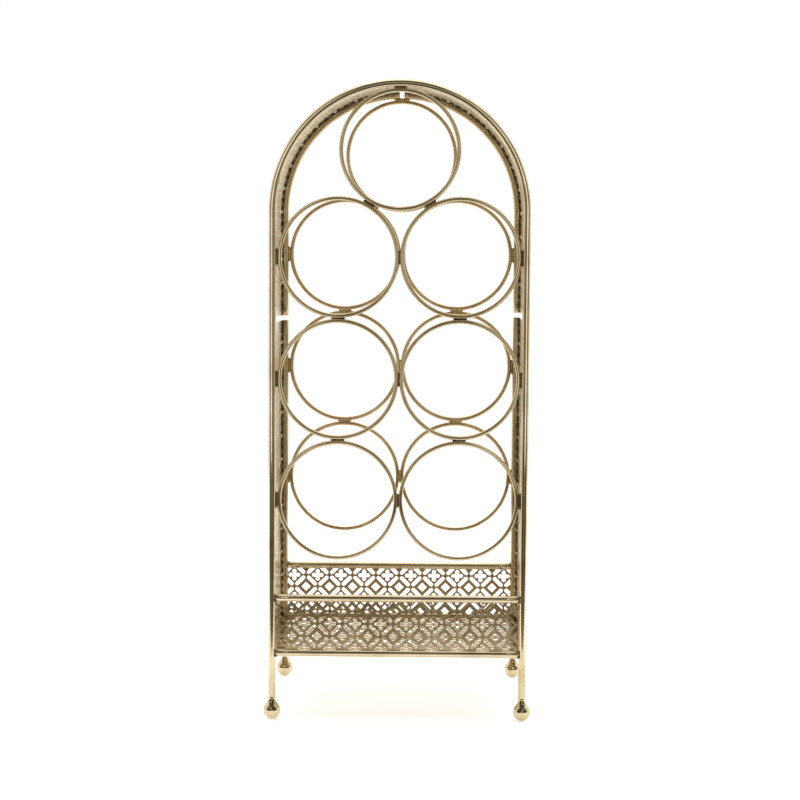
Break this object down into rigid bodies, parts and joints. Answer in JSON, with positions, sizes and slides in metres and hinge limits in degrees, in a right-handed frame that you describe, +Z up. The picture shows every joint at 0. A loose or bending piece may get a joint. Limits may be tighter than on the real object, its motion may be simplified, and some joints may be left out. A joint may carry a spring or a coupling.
{
  "type": "wine rack",
  "caption": "Arched free-standing metal wine rack: round rings front and back hold bottles lying flat, over a shallow perforated basket on ball feet.",
  "frame": {"origin": "on the floor under the centre of the outer box", "axes": "+Z up, front of the rack towards -Y, width along X"},
  "size_m": [0.2526, 0.2, 0.6],
  "materials": {
    "rod": "bright champagne-gold plated steel rod",
    "ring_wire": "bright champagne-gold plated steel wire",
    "basket_sheet": "satin champagne-gold plated perforated sheet",
    "band_sheet": "satin champagne-gold plated perforated sheet",
    "foot": "polished gold turned foot",
    "weld": "plated weld bead, darker and rougher"
  },
  "bodies": {
    "root": {"front_arch_rod": "rod", "rear_left_leg_rod": "rod", "rear_right_leg_rod": "rod", "rear_left_arch_rod": "rod", "rear_right_arch_rod": "rod", "front_top_rail": "rod", "front_bottom_rail": "rod", "rear_top_rail": "rod", "rear_bottom_rail": "rod", "front_ring_lower_left": "ring_wire", "front_ring_lower_right": "ring_wire", "front_ring_middle_left": "ring_wire", "front_ring_middle_right": "ring_wire", "front_ring_upper_left": "ring_wire", "front_ring_upper_right": "ring_wire", "rear_ring_lower_left": "ring_wire", "rear_ring_lower_right": "ring_wire", "rear_ring_middle_left": "ring_wire", "rear_ring_middle_right": "ring_wire", "rear_ring_upper_left": "ring_wire", "rear_ring_upper_right": "ring_wire", "front_ring_top": "ring_wire", "rear_ring_top": "ring_wire", "basket_front_panel": "basket_sheet", "basket_rear_panel": "basket_sheet", "basket_floor_panel": "basket_sheet", "side_band_left_lower": "band_sheet", "side_band_left_upper": "band_sheet", "side_band_right_lower": "band_sheet", "side_band_right_upper": "band_sheet", "front_left_foot": "foot", "front_right_foot": "foot", "rear_left_foot": "foot", "rear_right_foot": "foot", "front_ring_welds": "weld", "rear_ring_welds": "weld", "front_frame_welds": "weld", "rear_frame_welds": "weld", "rail_welds": "weld"}
  },
  "joints": []
}
